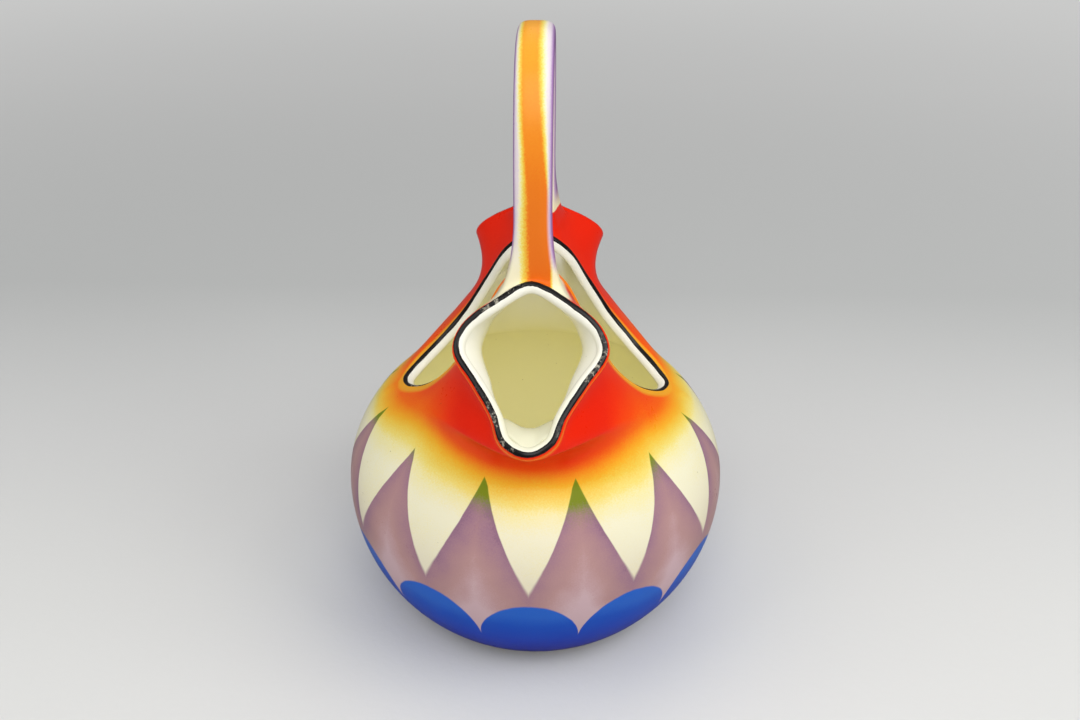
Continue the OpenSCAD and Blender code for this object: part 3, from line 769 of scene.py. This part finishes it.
def handle_glaze():
    p = Paint("handle_glaze")
    across, outward = p.value("across"), p.value("outward")
    # Lilac sides over cream feet and a cream inner face
    side = p.ramp(p.sum(p.times(outward, 0.5), 0.5, p.grain(1500, 0.05)), LILAC_STOPS)
    side = p.mix(p.rise(p.sum(p.z, p.grain(60, 8)), 176, 188), FOOT_CREAM, side)
    inner = p.rise(outward, -0.55, -0.75)
    flank = p.most(p.rise(across, 0.68, 0.9), p.rise(across, -0.84, -0.97))
    base = p.mix(p.most(flank, inner), stripe(p), side)
    # The rear foot takes the spouts' red up to a brushed edge
    red = p.times(p.rise(p.y, 0, 1), p.rise(p.sum(p.z, p.grain(120, 2.5)), 179, 178.3))
    base = p.mix(red, base, FULL_RED)
    rough = p.sum(0.3, p.grain(50, 0.1), p.grain(700, 0.06))
    return p.finish(base, rough, p.relief((50, 0.6), (600, 0.08)))


def black_enamel():
    p = Paint("black_enamel", 0.28)
    # Pale worn flecks, most at the upper left and the right of the front mouth; those at the right are partly
    # a painted sheen on the black
    patches = p.times(p.rise(p.noise(30), 0.6, 0.72), 0.8)
    for spot, reach in WORN_AND_SHEEN_SPOTS:
        away = p.node("ShaderNodeVectorMath", Vector=p.place)
        away.operation = "DISTANCE"
        away.inputs[1].default_value = [c * MM for c in spot]
        patches = p.most(patches, p.rise(away.outputs["Value"], reach * MM, reach * MM * 0.4))
    worn_and_sheen = p.times(p.rise(p.noise(420, 4, 0.65), 0.52, 0.62), patches)
    base = p.mix(worn_and_sheen, p.ramp(p.noise(300), ENAMEL_STOPS), WORN_AND_SHEEN_ENAMEL)
    rough = p.sum(0.22, p.times(worn_and_sheen, 0.3), p.grain(90, 0.1))
    return p.finish(base, rough, p.sum(p.times(worn_and_sheen, -0.6), p.relief((300, 0.3))), 0.0001)


def bare_clay():
    p = Paint("bare_clay")
    clay = p.ramp(p.noise(500, 5, 0.7), CLAY_STOPS)
    base = p.mix(p.rise(p.sum(p.z, p.grain(200, 0.8)), 1.0, 1.5), clay, GLAZE_RUN)
    return p.finish(base, p.sum(0.75, p.grain(300, 0.2)), p.noise(900, 4, 0.7), 0.0002)


def mouth_loop(half):
    """The whole of a mouth's edge from its right half."""
    return np.concatenate([half, (half * FLIP_X)[-2:0:-1]])


def lip_loop(half):
    """The whole of the opening's edge from the front spout's right half."""
    front = np.concatenate([half, (half * FLIP_X)[-2::-1]])
    return np.concatenate([front, (front * FLIP_Y)[-2:0:-1]])


# Black lines: waves of the brushed outline round the loop and their height in degrees, places across, and the
# bead's swell, edge and top as shares of its thickness
BRUSH_WAVES, BRUSH_ANGLE = (5, 11, 23, 41), 7
LINE_COLS = np.linspace(0, 1, 9)
BEAD_SWELL, BEAD_EDGE, BEAD_TOP = 2.2, 0.04, 0.97


def line_piece(node, start, end, swell, turn, from_angle, to_angle, back, depth=1):
    """Black enamel line along a closed edge: a thin band with a brushed outline; back turns it inwards."""
    loop = np.linspace(0, 2 * np.pi, len(start), endpoint=False)
    low, high = (sum(np.sin(loop * k + k * k * way) * BRUSH_ANGLE / np.sqrt(k) for k in BRUSH_WAVES)
                 for way in (1, 2))
    angles = np.radians((from_angle + low - back)[:, None] * (1 - LINE_COLS)
                        + (to_angle + high - back)[:, None] * LINE_COLS)
    grow = LINE_T * np.clip(np.sin(np.pi * LINE_COLS) * BEAD_SWELL, BEAD_EDGE, BEAD_TOP)
    band = half_round(start, end, swell, grow[None, :, None], angles, depth) * turn
    line = Skin()
    line.grid(np.concatenate([band, band[:1]]), node, "line")
    piece = make_piece(node + "_enamel", np.array(line.points), line.faces, line.normals(), {}, line.finishes,
                       {"line": black})
    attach(piece, "root")
    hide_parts(node)


looks = {"outside": sprayed_glaze(), "inside": inside_glaze(), "hoop": handle_glaze()}
black = black_enamel()
for owner, slot in (("bowl", "bowl_glaze"), ("front_spout", "spout_glaze"), ("rear_spout", "spout_glaze"),
                    ("handle", "handle_glaze")):
    skin_piece(owner, looks)
rear_back = REAR_MOUTH_TURN * eased(mouth_loop(mouth_out)[:, 2], *REAR_MOUTH_TURNS)
for node, turn, back in (("front_mouth_line", np.ones(3), 0), ("rear_mouth_line", HALF_TURN, rear_back)):
    line_piece(node, *map(mouth_loop, (mouth_out, mouth_in, mouth_rise)), turn, MOUTH_LINE_OUT,
               180 - MOUTH_LINE_IN - LINE_NARROWED, back)
lip_edge = lip_loop(lip_out)
near_back = NEAR_LIP_TURN * eased(lip_edge[:, 2], *NEAR_LIP_TURNS) * (lip_edge[:, 1] < 0)
line_piece("opening_line", *map(lip_loop, (lip_in, lip_out, lip_rise)), np.ones(3),
           LIP_LINE_IN + LINE_NARROWED, 180 - LIP_LINE_OUT, near_back, LIP_DEPTH)
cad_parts["foot_ring"].data.materials.clear()
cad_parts["foot_ring"].data.materials.append(bare_clay())

# Studio floor and world, both darker in the glaze than the light that they give, so that they don't veil the
# colours
FLOOR_AND_SHADE_STOPS = [(0, "#dadad7"), (0.08, "#d8d8d5"), (0.22, "#cfcfcd"), (0.42, "#bcbdbb"), (1, "#c6c6c4")]
FLOOR_IN_GLAZE, FLOOR_GLOW, SKY = "#202020", "#f2f2f0", "#f4f5f8"
FLOOR_SIZE, FLOOR_Z = 12, -0.0001
SKY_LIGHT, SKY_LESS_IN_GLAZE = 0.44, -0.29


def floor_paint():
    """Pale in front and greyer behind the jug, the grey being painted shade; far off it glows, for the camera
    alone.
    """
    p = Paint("studio_floor")
    rays = p.node("ShaderNodeLightPath").outputs
    away = p.math("SQRT", p.sum(p.times(p.x, p.x), p.times(p.y, p.y)))
    grey_and_shade = p.ramp(p.sum(p.times(p.y, MM), 0.1, p.grain(3, 0.06)), FLOOR_AND_SHADE_STOPS)
    base = p.mix(p.times(rays["Is Glossy Ray"], 0.65), grey_and_shade, FLOOR_IN_GLAZE)
    p.put(p.shader.inputs["Emission Color"], colour(FLOOR_GLOW))
    glow = p.times(p.rise(away, 350, 2000, 0, 0.36), rays["Is Camera Ray"])
    p.put(p.shader.inputs["Emission Strength"], glow)
    return p.finish(base, 0.6, p.noise(300), 0.0001)


bpy.ops.mesh.primitive_plane_add(size=FLOOR_SIZE, location=(0, 0, FLOOR_Z))
floor = bpy.context.object
floor.name = "studio_floor"
floor.data.materials.append(floor_paint())

world = bpy.data.worlds.new("studio")
scene.world = world
world.use_nodes = True
nodes, links = world.node_tree.nodes, world.node_tree.links
background = nodes["Background"].inputs
background["Color"].default_value = colour(SKY)
sky_rays, dim = nodes.new("ShaderNodeLightPath"), nodes.new("ShaderNodeMath")
dim.operation = "MULTIPLY_ADD"
dim.inputs[1].default_value, dim.inputs[2].default_value = SKY_LESS_IN_GLAZE, SKY_LIGHT
links.new(sky_rays.outputs["Is Glossy Ray"], dim.inputs[0])
links.new(dim.outputs[0], background["Strength"])
# Light that bounces about inside the pale jug
scene.cycles.diffuse_bounces = 12
scene.cycles.max_bounces = 16

# Square softboxes: place and aim in metres, width in metres, power in watts
JUG = (0, 0, 0.12)
SOFTBOXES = {"key_softbox": ((0.1, -1.0, 1.1), JUG, 1.0, 8.6),
             "left_softbox": ((-1.0, -0.4, 1.1), JUG, 0.9, 4.2),
             "right_softbox": ((1.0, -0.4, 1.1), JUG, 0.9, 8.5),
             "top_softbox": ((0, 0.2, 1.5), (0, 0, 0.1), 1.2, 1.8),
             "rear_softbox": ((0.3, 1.1, 1.3), JUG, 1.0, 1.6)}
for name, (place, aim, width, power) in SOFTBOXES.items():
    lamp = bpy.data.lights.new(name, "AREA")
    lamp.shape, lamp.size, lamp.energy = "SQUARE", width, power
    box = bpy.data.objects.new(name, lamp)
    box.location = place
    box.rotation_euler = (Vector(aim) - Vector(place)).to_track_quat("-Z", "Y").to_euler()
    scene.collection.objects.link(box)

# Camera fitted to the photo: its angles down, sideways and tilted, then lengths in millimetres and in pixels
LOOK_DOWN, TURN, TILT = np.radians([29.7, 1.6, 0.2])
DISTANCE, SIDE, LIFT, TARGET_Z = 491, 1.9, 51.1, 60
FOCUS_PX, PHOTO_PX, SENSOR_W = 1050, 1080, 36
ahead = np.array([-np.sin(TURN) * np.cos(LOOK_DOWN), np.cos(TURN) * np.cos(LOOK_DOWN), -np.sin(LOOK_DOWN)])
right = np.array([np.cos(TURN), np.sin(TURN), 0])
above = np.cross(right, ahead)
eye = np.array([0, 0, TARGET_Z]) - DISTANCE * ahead + SIDE * right + LIFT * above
tilted_right = np.cos(TILT) * right + np.sin(TILT) * above
tilted_up = -np.sin(TILT) * right + np.cos(TILT) * above
lens = bpy.data.cameras.new("photo_camera")
lens.sensor_fit, lens.sensor_width, lens.lens = "HORIZONTAL", SENSOR_W, SENSOR_W * FOCUS_PX / PHOTO_PX
lens.clip_start = 0.01
camera = bpy.data.objects.new("photo_camera", lens)
columns = np.stack([tilted_right, tilted_up, -ahead, eye * MM], 1)
camera.matrix_world = Matrix([*columns.tolist(), [0, 0, 0, 1]])
scene.collection.objects.link(camera)
scene.camera = camera
scene.view_settings.view_transform = "Standard"
